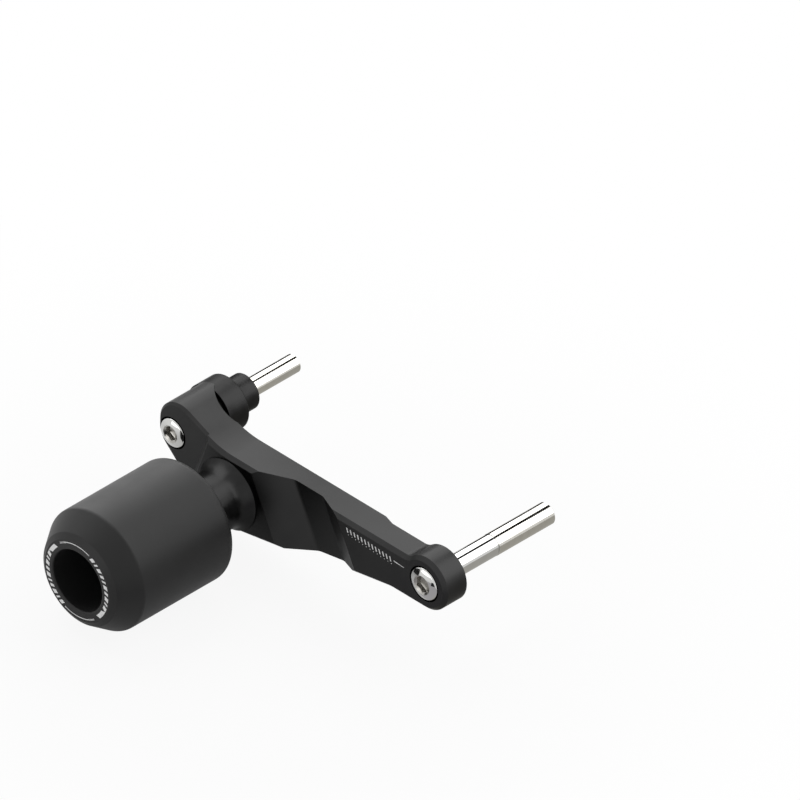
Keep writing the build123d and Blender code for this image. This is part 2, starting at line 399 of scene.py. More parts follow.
def mark_edges(mesh: Mesh, crease: float = 38.0) -> None:
    """Shades a mesh smooth, with sharp edges where its faces turn by more than an angle.

    Args:
        mesh: the mesh.
        crease: the angle in degrees.
    """
    work = bmesh.new()
    work.from_mesh(mesh)
    bmesh.ops.recalc_face_normals(work, faces=work.faces)
    for face in work.faces:
        face.smooth = True
    for edge in work.edges:
        edge.smooth = edge.is_manifold and edge.calc_face_angle() < math.radians(crease)
    work.to_mesh(mesh)
    work.free()


def shade_evenly(piece: Object) -> None:
    """Weights a piece's normals by the size of its faces, so that broad faces shade flat.

    Args:
        piece: the piece, whose sharp edges stay sharp.
    """
    even = piece.modifiers.new("even_shading", "WEIGHTED_NORMAL")
    even.keep_sharp = True
    even.weight = 100


def ease_edges(piece: Object, width: float, crease: float, segments: int) -> None:
    """Eases a piece's edges with a modifier, which leaves its mesh as it is.

    Args:
        piece: the piece.
        width: how wide the eased edges are, in millimetres.
        crease: edges that turn by more degrees than this are eased.
        segments: how many faces follow one another across an edge.
    """
    ease = piece.modifiers.new("eased_edges", "BEVEL")
    ease.width = width * MM
    ease.segments = segments
    ease.limit_method = "ANGLE"
    ease.angle_limit = math.radians(crease)


def make_piece(
    name: str, points: Sequence[tuple], faces: Sequence[tuple],
    finishes: Sequence[Material], wears: Sequence[int] | None = None,
) -> Object:
    """Makes a piece of the object from points in millimetres and lets it ride on the body.

    Args:
        name: the piece's name.
        points: its corners in millimetres.
        faces: corner numbers of each face.
        finishes: its materials.
        wears: the number of each face's material.

    Returns:
        The new object.
    """
    mesh = bpy.data.meshes.new(name)
    mesh.from_pydata([Vector(p) * MM for p in points], [], faces)
    for finish in finishes:
        mesh.materials.append(finish)
    if wears:
        mesh.polygons.foreach_set("material_index", wears)
    mark_edges(mesh)
    piece = bpy.data.objects.new(name, mesh)
    bpy.context.scene.collection.objects.link(piece)
    shade_evenly(piece)
    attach(piece, BODY)
    return piece


def turn_piece(
    name: str, outline: Sequence[Corner], axis: Point, finishes: Sequence[Material],
    closed: bool, around: int = 128, wear: Callable[[float, float], int] | None = None,
) -> Object:
    """Turns an outline about an axis along X.

    Args:
        name: the piece's name.
        outline: the outline, whose corners are rounded here.
        axis: the axis's place along Y and Z.
        finishes: the piece's materials.
        closed: whether the outline closes on itself, as a ring's does.
        around: how many faces go round.
        wear: gives a face's material number from its X and radius.

    Returns:
        The new object.
    """
    outline = round_corners(outline, closed)
    points, loops, faces, wears = [], [], [], []
    for corner in outline:
        if corner.r == 0:
            points.append((corner.x, *axis))
            loops.append([len(points) - 1] * around)
            continue
        loops.append(list(range(len(points), len(points) + around)))
        for k in range(around):
            turn = math.tau * k / around
            r = corner.radius(turn)
            points.append((corner.x, axis[0] + r * math.cos(turn), axis[1] + r * math.sin(turn)))
    pairs = list(zip(range(len(loops)), range(1, len(loops))))
    if closed:
        pairs.append((len(loops) - 1, 0))
    for low, high in pairs:
        for k in range(around):
            n = (k + 1) % around
            ring = (loops[low][k], loops[low][n], loops[high][n], loops[high][k])
            faces.append(tuple(dict.fromkeys(ring)))
            if wear:
                middle = (outline[low].x + outline[high].x) / 2
                wears.append(wear(middle, (outline[low].r + outline[high].r) / 2))
    return make_piece(name, points, faces, finishes, wears)


@dataclass(frozen=True)
class Socket:
    """A hexagon socket with a chamfered mouth."""

    flats: float                       # distance across its flats
    depth: float
    lead: float = 0.75                 # the mouth's chamfer reaches this far beyond the corners
    slope: float = 0.75                # depth of the chamfer for each millimetre across
    steps: int = 5                     # rings down the chamfer
    drill_point: float = 1.0           # how far the drill's cone goes below the floor
    floor_share: float = 0.93          # the floor's size as a share of the hexagon
    floor_edge: float = 0.15           # height of the step up to the full hexagon

    @property
    def mouth_r(self) -> float:
        """Gives the radius of the chamfer's outer edge."""
        return self.flats / 2 / math.cos(math.tau / 12) + self.lead

    def ring(self, x: float, deep: float, shrink: float = 1.0) -> Corner:
        """Gives the socket's outline at a depth.

        Args:
            x: where the ring lies.
            deep: how far that is below the mouth.
            shrink: makes the ring smaller.

        Returns:
            The ring, a hexagon or the part of the chamfer that is wider.
        """
        cone = self.mouth_r - deep / self.slope
        sixth = math.tau / 6

        def radius(turn: float) -> float:
            """Gives the radius at an angle."""
            flat = self.flats / 2 / math.cos((turn + sixth / 2) % sixth - sixth / 2)
            return max(cone, flat) * shrink

        return Corner(x, self.flats / 2, shape=radius)

    def outline(self, mouth_x: float) -> list[Corner]:
        """Draws the socket from the drill point at its bottom to its mouth.

        Args:
            mouth_x: where the mouth is.

        Returns:
            The corners of the outline.
        """
        chamfer = (self.mouth_r - self.flats / 2) * self.slope
        floor_x = mouth_x + self.depth
        rings = [
            Corner(floor_x + self.drill_point, 0.0),
            self.ring(floor_x, self.depth, self.floor_share),
            self.ring(floor_x - self.floor_edge, self.depth),
        ]
        for k in range(self.steps, -1, -1):
            deep = chamfer * k / self.steps
            rings.append(self.ring(mouth_x + deep, deep))
        return rings


@dataclass(frozen=True)
class Knurl:
    """Straight knurl round a bolt's head."""

    r: float
    teeth: int = 48
    depth: float = 0.3

    def __call__(self, turn: float) -> float:
        """Gives the radius at an angle."""
        return self.r - self.depth * (0.5 + 0.5 * math.cos(turn * self.teeth))


@dataclass(frozen=True)
class Thread:
    """A rolled thread, drawn shallow: the photograph shows its bands as clear as the shank's."""

    r: float
    start_x: float
    end_x: float
    pitch: float
    depth: float = 0.03
    samples: int = 8                   # rings in one turn of the helix

    def ring(self, x: float, fade: float) -> Corner:
        """Gives the thread's outline at a place.

        Args:
            x: where the ring lies.
            fade: share of the full depth, which runs out at both ends.

        Returns:
            The ring, whose radius follows the helix.
        """
        def radius(turn: float) -> float:
            """Gives the radius at an angle."""
            phase = math.tau * x / self.pitch - turn
            return self.r - self.depth * fade * (0.5 - 0.5 * math.cos(phase))

        return Corner(x, self.r, shape=radius)

    def outline(self) -> list[Corner]:
        """Draws the thread from its start to its end.

        Returns:
            The rings, whose depth grows and fades over one turn at each end.
        """
        length = self.end_x - self.start_x
        count = round(length / self.pitch * self.samples)
        return [
            self.ring(self.start_x + length * k / count,
                      min(1.0, k / self.samples, (count - k) / self.samples))
            for k in range(count + 1)
        ]


@dataclass(frozen=True)
class FrameBolt:
    """A frame bolt: domed head with a socket, polished shank and rolled thread."""

    name: str
    node: str
    axis: Point
    head_x: float
    head_r: float
    seat_x: float
    shank_r: float
    thread: Thread
    tip_x: float
    socket: Socket
    dome: float                        # height of the dome over the head's edge
    dome_steps: int = 10
    edge: float = 0.35                 # rounding between dome and side
    seat_edge: float = 0.3             # rounding of the head's seat and of the corner at the shank
    groove: float = 0.4                # depth of the groove where the thread starts
    groove_starts: float = 0.9         # the groove's places, measured back from the thread
    groove_floor: Point = (0.65, 0.25)
    tip: float = 1.2                   # how far the tip's radius is under the thread's
    tip_break: Point = (0.2, 0.3)      # chamfer round the tip, along X and across

    @property
    def mouth_x(self) -> float:
        """Gives the place of the socket's mouth, on the dome."""
        return self.dome_x(self.socket.mouth_r)

    def dome_x(self, r: float) -> float:
        """Gives the dome's place along X at a radius."""
        ball = (self.head_r**2 + self.dome**2) / (2 * self.dome)
        return self.head_x - self.dome + ball - math.sqrt(ball**2 - r**2)

    def outline(self) -> list[Corner]:
        """Draws the half section, from the socket's bottom over the head to the tip.

        Returns:
            The corners of the outline.
        """
        outline = self.socket.outline(self.mouth_x)
        mouth_r, last_r = self.socket.mouth_r, self.head_r - self.edge
        for k in range(1, self.dome_steps + 1):
            r = mouth_r + (last_r - mouth_r) * k / self.dome_steps
            outline.append(Corner(self.dome_x(r), r))
        outline += [
            Corner(self.head_x + self.edge, self.head_r, self.edge),
            Corner(self.seat_x, self.head_r, self.seat_edge),
            Corner(self.seat_x, self.shank_r, self.seat_edge),
            Corner(self.thread.start_x - self.groove_starts, self.shank_r),
        ]
        for back in self.groove_floor:
            outline.append(Corner(self.thread.start_x - back, self.shank_r - self.groove))
        tip_r = self.thread.r - self.tip
        return outline + self.thread.outline() + [
            Corner(self.tip_x - self.tip_break[0], tip_r),
            Corner(self.tip_x, tip_r - self.tip_break[1]), Corner(self.tip_x, 0.0),
        ]

    def wear(self, x: float, r: float) -> BoltFace:
        """Tells a polished face from the rolled thread and the broached socket.

        Args:
            x: the face's middle.
            r: its radius.

        Returns:
            The kind of face.
        """
        if x < self.seat_x and r < self.socket.mouth_r - self.socket.lead:
            return BoltFace.BROACHED
        return BoltFace.ROLLED if x > self.thread.start_x else BoltFace.POLISHED

    def build(self, finishes: Sequence[Material]) -> Object:
        """Makes the bolt and puts it in the place of its plain solid.

        Args:
            finishes: the bolt's steels, in the order of BoltFace.

        Returns:
            The bolt.
        """
        piece = turn_piece(
            self.name, self.outline(), self.axis, finishes, closed=False, around=96,
            wear=self.wear,
        )
        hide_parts(self.node)
        return piece


@dataclass(frozen=True)
class PuckBolt:
    """The knurled socket head bolt at the bottom of the puck's well."""

    axis: Point = PUCK_AXIS
    head_x: float = -100.5
    head_r: float = 9.0
    seat_x: float = -88.5
    shank_r: float = 6.0
    tip_x: float = 1.5
    tip: float = 1.2                   # chamfer round the tip
    knurl_from: float = -98.9
    knurl_to: float = -90.5
    knurl_lead: float = 0.3            # length over which the teeth start and end
    rim_edge: float = 0.9
    seat_edge: float = 0.3
    socket: Socket = Socket(flats=10.0, depth=6.0)

    def build(self, finish: Material) -> Object:
        """Makes the bolt and puts it in the place of its plain solid.

        Args:
            finish: its material.

        Returns:
            The bolt.
        """
        teeth = Knurl(self.head_r)
        outline = self.socket.outline(self.head_x) + [
            Corner(self.head_x, self.head_r, self.rim_edge),
            Corner(self.knurl_from, self.head_r),
            Corner(self.knurl_from + self.knurl_lead, self.head_r, shape=teeth),
            Corner(self.knurl_to - self.knurl_lead, self.head_r, shape=teeth),
            Corner(self.knurl_to, self.head_r), Corner(self.seat_x, self.head_r, self.seat_edge),
            Corner(self.seat_x, self.shank_r, self.seat_edge),
            Corner(self.tip_x - self.tip, self.shank_r),
            Corner(self.tip_x, self.shank_r - self.tip), Corner(self.tip_x, 0.0),
        ]
        piece = turn_piece(
            "puck_socket_bolt", outline, self.axis, [finish], closed=False, around=192
        )
        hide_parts("puck_bolt")
        return piece


@dataclass(frozen=True)
class Strip:
    """A flat mark with a left and a right edge, given as points along Y and Z."""

    left: tuple[Point, ...]
    right: tuple[Point, ...]


def print_marks(
    name: str, strips: Sequence[Strip], face_x: float, ink: Material,
    proud: float = 0.02, sunk: float = 0.03,
) -> Object:
    """Makes printed marks as thin solids on a face that looks along minus X.

    Args:
        name: the piece's name.
        strips: the marks.
        face_x: where the face is.
        ink: the marks' material.
        proud: how far they stand out of the face.
        sunk: how far they reach into it.

    Returns:
        All the marks as one object.
    """
    points, faces = [], []
    for strip in strips:
        start, count = len(points), len(strip.left)
        deep = 2 * count
        for x in (face_x - proud, face_x + sunk):
            for y, z in (*strip.left, *strip.right):
                points.append((x, y, z))
        for k in range(count - 1):
            a, b = start + k, start + count + k
            front = (a, a + 1, b + 1, b)
            faces.append(front)
            faces.append(tuple(n + deep for n in reversed(front)))
            faces.append((a + 1, a, a + deep, a + deep + 1))
            faces.append((b, b + 1, b + deep + 1, b + deep))
        for k in (0, count - 1):
            a, b = start + k, start + count + k
            faces.append((a, b, b + deep, a + deep))
    return make_piece(name, points, faces, [ink])


@dataclass
class Arm:
    """The milled arm: the CAD mesh with its machined edges eased, and a row of printed bars."""

    finish: Finish = BlastedAnodised()
    ink: Finish = PAD_PRINT
    edge: float = 0.6                  # width of the eased edges
    crease: float = 22.0               # edges that turn by more degrees than this are eased
    weld: float = 0.001                # how near corners of the CAD's faces are joined
    flat: float = 0.3                  # degrees within which its triangles are one flat face
    face_x: float = -15.0
    bars: int = 13
    bars_from: Point = (53.5, 4.6)
    bars_to: Point = (23.5, 3.0)
    bar_height: float = 2.6
    bar_width: float = 0.75
    bar_slant: float = 0.9
    dot_drop: float = 1.1              # from a bar's foot down to its dot
    dot_half: float = 0.22
    rule_gap: float = 2.4              # from the last bar to the rule
    rule_to: Point = (14.0, 2.5)
    rule_halves: Point = (0.30, 0.12)  # half the rule's height at its start and at its end

    def build(self) -> list[Object]:
        """Eases the edges of the arm's own mesh by modifiers and gives it its finish.

        Returns:
            The arm.
        """
        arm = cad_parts["arm"]
        weld = arm.modifiers.new("join_faces", "WELD")
        weld.merge_threshold = self.weld * MM
        flat = arm.modifiers.new("clean_flats", "DECIMATE")
        flat.decimate_type = "DISSOLVE"
        flat.angle_limit = math.radians(self.flat)
        ease_edges(arm, self.edge, self.crease, segments=3)
        shade = arm.modifiers.new("smooth_shading", "NODES")
        shade.node_group = self.shading()
        shade_evenly(arm)
        arm.material_slots[0].material = self.finish.build()
        return [arm]

    def shading(self) -> NodeTree:
        """Makes the geometry nodes that shade every face smooth.

        Returns:
            The node group.
        """
        tree = bpy.data.node_groups.new("smooth_shading", "GeometryNodeTree")
        for end in ("INPUT", "OUTPUT"):
            tree.interface.new_socket("Mesh", in_out=end, socket_type="NodeSocketGeometry")
        geometry = add_node(tree, "NodeGroupInput").outputs[0]
        for domain in ("FACE", "EDGE"):
            smooth = add_node(
                tree, "GeometryNodeSetShadeSmooth", {"domain": domain, "Shade Smooth": True},
                {"Geometry": geometry},
            )
            geometry = smooth.outputs[0]
        add_node(tree, "NodeGroupOutput", links={0: geometry})
        return tree

    def dress(self) -> list[Object]:
        """Prints a row of slanted bars with dots under them, and a rule, on the outer face.

        Returns:
            The marks.
        """
        strips = []
        start, end = Vector(self.bars_from), Vector(self.bars_to)
        top, low = self.bar_height / 2, -self.bar_height / 2
        half = self.dot_half
        for k in range(self.bars):
            place = start.lerp(end, k / (self.bars - 1))
            edges = []
            for side in (self.bar_width / 2, -self.bar_width / 2):
                edges.append((
                    (place.x + side + self.bar_slant / 2, place.y + top),
                    (place.x + side - self.bar_slant / 2, place.y + low),
                ))
            strips.append(Strip(*edges))
            dot = place + Vector((-self.bar_slant, low - self.dot_drop))
            strips.append(Strip(
                ((dot.x + half, dot.y + half), (dot.x + half, dot.y - half)),
                ((dot.x - half, dot.y + half), (dot.x - half, dot.y - half)),
            ))
        rule_start, rule_end = end - Vector((self.rule_gap, 0.0)), Vector(self.rule_to)
        thick, thin = self.rule_halves
        strips.append(Strip(
            ((rule_start.x, rule_start.y + thick), (rule_end.x, rule_end.y + thin)),
            ((rule_start.x, rule_start.y - thick), (rule_end.x, rule_end.y - thin)),
        ))
        return [print_marks("arm_printed_bars", strips, self.face_x, self.ink.build())]


@dataclass
class Puck:
    """The turned puck with its deep well, and the plain printed ring round the well's mouth."""

    finish: Finish = TurnedAcetal()
    ink: Finish = PAD_PRINT
    axis: Point = PUCK_AXIS
    outer_x: float = -124.0
    inner_x: float = -46.6
    face_r: float = 22.6
    lip: Point = (-121.9, 25.6)
    shoulder_x: float = -110.3
    body_r: float = 33.4
    well_r: float = 17.0
    well_floor_x: float = -86.0
    bore_r: float = 10.05
    recess: Point = (-53.0, 26.8)
    bore_edge: float = 0.2             # from here the radii that round the outline's corners
    floor_edge: float = 0.8
    mouth_edge: float = 0.9
    face_edge: float = 0.8
    lip_edge: float = 1.0
    shoulder_edge: float = 3.2
    rim_edge: float = 4.5
    recess_edge: float = 0.5
    ring: Point = (19.3, 21.6)         # the printed ring's inner and outer radius
    block_turn: float = 34.3           # degrees about the axis from +Y towards +Z
    block_half: float = 8.5
    block_slant: float = -4.0
    arc_r: float = 21.0
    arc_half: float = 0.22             # half its thickness
    arc_from: float = 19.7             # degrees on from a block's middle
    arc_to: float = 78.0
    ticks: int = 5                     # short bars on the arc's start
    tick_turn: float = 1.4
    tick_step: float = 2.6
    tick_reach: Point = (0.55, 0.4)    # how far they go in and out from the arc
    bars_gap: float = 4.0              # degrees from the arc's end to the slanted bars
    bars_to: float = 168.0             # degrees on from a block's middle
    bar_slant: float = 3.0
    bar_turns: tuple[float, ...] = (6.5, 3.0, 6.5, 4.5, 3.0, 6.5, 4.5, 6.5, 3.0, 6.5)
    facet: float = 3.0                 # degrees of a ring that one straight piece spans

    def build(self) -> list[Object]:
        """Turns the puck with its corners rounded as the lathe leaves them.

        Returns:
            The puck.
        """
        outline = [
            Corner(self.well_floor_x, self.bore_r, self.bore_edge),
            Corner(self.well_floor_x, self.well_r, self.floor_edge),
            Corner(self.outer_x, self.well_r, self.mouth_edge),
            Corner(self.outer_x, self.face_r, self.face_edge),
            Corner(*self.lip, self.lip_edge),
            Corner(self.shoulder_x, self.body_r, self.shoulder_edge),
            Corner(self.inner_x, self.body_r, self.rim_edge),
            Corner(self.inner_x, self.recess[1], self.recess_edge),
            Corner(*self.recess, self.recess_edge),
            Corner(self.recess[0], self.bore_r, self.bore_edge),
        ]
        piece = turn_piece(
            "turned_puck", outline, self.axis, [self.finish.build()], closed=True, around=192
        )
        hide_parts("puck")
        return [piece]

    def sector(self, start: float, end: float, radii: Point, slant: float = 0.0) -> Strip:
        """Draws a printed piece of a ring.

        Args:
            start: where it starts, in degrees about the axis.
            end: where it ends.
            radii: its inner and outer radius.
            slant: degrees that its outer edge is ahead of its inner edge.

        Returns:
            The piece as a strip.
        """
        pieces = max(1, round(abs(end - start) / self.facet))
        edges = []
        for r, ahead in zip(radii, (-slant / 2, slant / 2)):
            edge = []
            for k in range(pieces + 1):
                turn = math.radians(start + (end - start) * k / pieces + ahead)
                edge.append((self.axis[0] + r * math.cos(turn), self.axis[1] + r * math.sin(turn)))
            edges.append(tuple(edge))
        return Strip(*edges)

    def dress(self) -> list[Object]:
        """Prints two blocks, with a thin arc and a row of slanted bars between them each way.

        Returns:
            The marks.
        """
        strips = []
        arc = (self.arc_r - self.arc_half, self.arc_r + self.arc_half)
        tick = (self.arc_r - self.tick_reach[0], self.arc_r + self.tick_reach[1])
        gaps = len(self.bar_turns) - 1
        gap = (self.bars_to - self.arc_to - self.bars_gap - sum(self.bar_turns)) / gaps
        for first in (self.block_turn, self.block_turn + 180):
            strips.append(self.sector(
                first - self.block_half, first + self.block_half, self.ring, self.block_slant
            ))
            strips.append(self.sector(first + self.arc_from, first + self.arc_to, arc))
            turn = first + self.arc_from
            for _ in range(self.ticks):
                strips.append(self.sector(turn, turn + self.tick_turn, tick))
                turn += self.tick_step
            turn = first + self.arc_to + self.bars_gap
            for length in self.bar_turns:
                strips.append(self.sector(turn, turn + length, self.ring, self.bar_slant))
                turn += length + gap
        return [print_marks("puck_printed_ring", strips, self.outer_x, self.ink.build())]


@dataclass
class Standoff:
    """The turned post between the arm and the puck, with its foot blended into the post."""

    finish: Material
    axis: Point = PUCK_AXIS
    end_x: float = -53.0
    post_r: float = 16.0
    bore_r: float = 6.25
    foot_x: float = -23.7
    foot_r: float = 19.7
    seat_x: float = -18.9
    rim: float = 0.5                   # the foot's straight rim
    cove: float = 12.0                 # hollow radius where the foot grows out of the post
    edge: float = 0.2
    end_edge: float = 0.3

    def build(self) -> list[Object]:
        """Turns the post.

        Returns:
            The post.
        """
        outline = [
            Corner(self.end_x, self.bore_r, self.edge),
            Corner(self.end_x, self.post_r, self.end_edge),
            Corner(self.foot_x, self.post_r, self.cove),
            Corner(self.seat_x - self.rim, self.foot_r, self.edge),
            Corner(self.seat_x, self.foot_r), Corner(self.seat_x, self.bore_r, self.edge),
        ]
        piece = turn_piece("turned_standoff", outline, self.axis, [self.finish], closed=True)
        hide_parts("standoff")
        return [piece]


@dataclass
class UpperSpacer:
    """The turned spacer behind the lobe, with its smaller nose."""

    finish: Material
    axis: Point = UPPER_AXIS
    back_x: float = 8.5
    step_x: float = 21.9
    nose_x: float = 34.3
    body_r: float = 15.0
    nose_r: float = 9.8
    bore_r: float = 5.25
    bore_edges: Point = (0.2, 0.3)     # rounding at the back and at the nose
    back_edge: float = 0.3
    step_edge: float = 0.9
    step_hollow: float = 0.5
    nose_edge: float = 0.7

    def build(self) -> list[Object]:
        """Turns the spacer.

        Returns:
            The spacer.
        """
        outline = [
            Corner(self.back_x, self.bore_r, self.bore_edges[0]),
            Corner(self.back_x, self.body_r, self.back_edge),
            Corner(self.step_x, self.body_r, self.step_edge),
            Corner(self.step_x, self.nose_r, self.step_hollow),
            Corner(self.nose_x, self.nose_r, self.nose_edge),
            Corner(self.nose_x, self.bore_r, self.bore_edges[1]),
        ]
        piece = turn_piece("turned_upper_spacer", outline, self.axis, [self.finish], closed=True)
        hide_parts("upper_spacer")
        return [piece]


@dataclass
class Bolts:
    """The two frame bolts, and the bolt, washer and sleeve that hold the puck."""

    lower: FrameBolt = FrameBolt(
        name="lower_frame_bolt", node="lower_bolt", axis=LOWER_AXIS, head_x=-15.2, head_r=9.0,
        seat_x=-8.4, shank_r=5.85, tip_x=71.6, dome=2.2, socket=Socket(flats=8.0, depth=3.6),
        thread=Thread(r=6.0, start_x=32.1, end_x=70.4, pitch=1.25),
    )
    upper: FrameBolt = FrameBolt(
        name="upper_frame_bolt", node="upper_bolt", axis=UPPER_AXIS, head_x=-17.3, head_r=8.0,
        seat_x=-11.5, shank_r=4.85, tip_x=68.5, dome=2.0, socket=Socket(flats=7.0, depth=3.6),
        thread=Thread(r=5.0, start_x=37.0, end_x=67.3, pitch=1.25),
    )
    puck: PuckBolt = PuckBolt()
    edge: float = 0.3                  # eased edges of the washer and the sleeve
    crease: float = 40.0               # edges that turn by more degrees than this are eased

    def build(self) -> list[Object]:
        """Makes the bolts, and gives the washer and the sleeve their finishes.

        Returns:
            The three bolts, the washer and the sleeve.
        """
        bright = [POLISHED.build(), ROLLED.build(), BROACHED.build()]
        plated = PLATED.build()
        pieces = [self.lower.build(bright), self.upper.build(bright), self.puck.build(plated)]
        for node, finish in (("puck_washer", plated), ("puck_sleeve", BARE_ALLOY.build())):
            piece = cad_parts[node]
            piece.material_slots[0].material = finish
            ease_edges(piece, self.edge, self.crease, segments=2)
            pieces.append(piece)
        return pieces


def empty_tree(owner: Material | World) -> NodeTree:
    """Switches on the nodes of a material or a world and clears them.

    Args:
        owner: the material or world.

    Returns:
        Its empty node tree.
    """
    owner.use_nodes = True
    owner.node_tree.nodes.clear()
    return owner.node_tree


def lay_sheet(name: str, sides: Point, finish: Material) -> Object:
    """Makes a flat rectangle round its own origin.

    Args:
        name: the sheet's name.
        sides: its sides along X and Y, in metres.
        finish: its material.

    Returns:
        The sheet.
    """
    x, y = sides[0] / 2, sides[1] / 2
    mesh = bpy.data.meshes.new(name)
    mesh.from_pydata([(-x, -y, 0), (x, -y, 0), (x, y, 0), (-x, y, 0)], [], [(0, 1, 2, 3)])
    mesh.materials.append(finish)
    sheet = bpy.data.objects.new(name, mesh)
    bpy.context.scene.collection.objects.link(sheet)
    return sheet


def panel_axes(away: Vector, along: Place) -> Matrix:
    """Turns a panel so that its face looks back along a direction.

    Args:
        away: the direction that its back looks in.
        along: the axis that its first side follows as near as can be.

    Returns:
        The panel's axes.
    """
    up = Vector(along).cross(away).normalized()
    return Matrix((up.cross(away), up, away)).transposed().to_4x4()


@dataclass(frozen=True)
class Softbox:
    """A soft lamp that faces the object."""

    name: str
    direction: Place                   # the way to the lamp
    sides: Point                       # metres
    level: float                       # radiance, where a white card shows as one
    along: Place = ALONG_BOLTS
    distance: float = 1.1              # metres

    def hang(self, middle: Vector) -> None:
        """Hangs the lamp.

        Args:
            middle: the object's middle, which it faces.
        """
        light = bpy.data.lights.new(self.name, "AREA")
        light.shape = "RECTANGLE"
        light.size, light.size_y = self.sides
        light.energy = self.level * math.pi * self.sides[0] * self.sides[1]
        lamp = bpy.data.objects.new(self.name, light)
        away = Vector(self.direction).normalized()
        place = Matrix.Translation(middle + away * self.distance)
        lamp.matrix_world = place @ panel_axes(away, self.along)
        lamp.visible_camera = False
        bpy.context.scene.collection.objects.link(lamp)


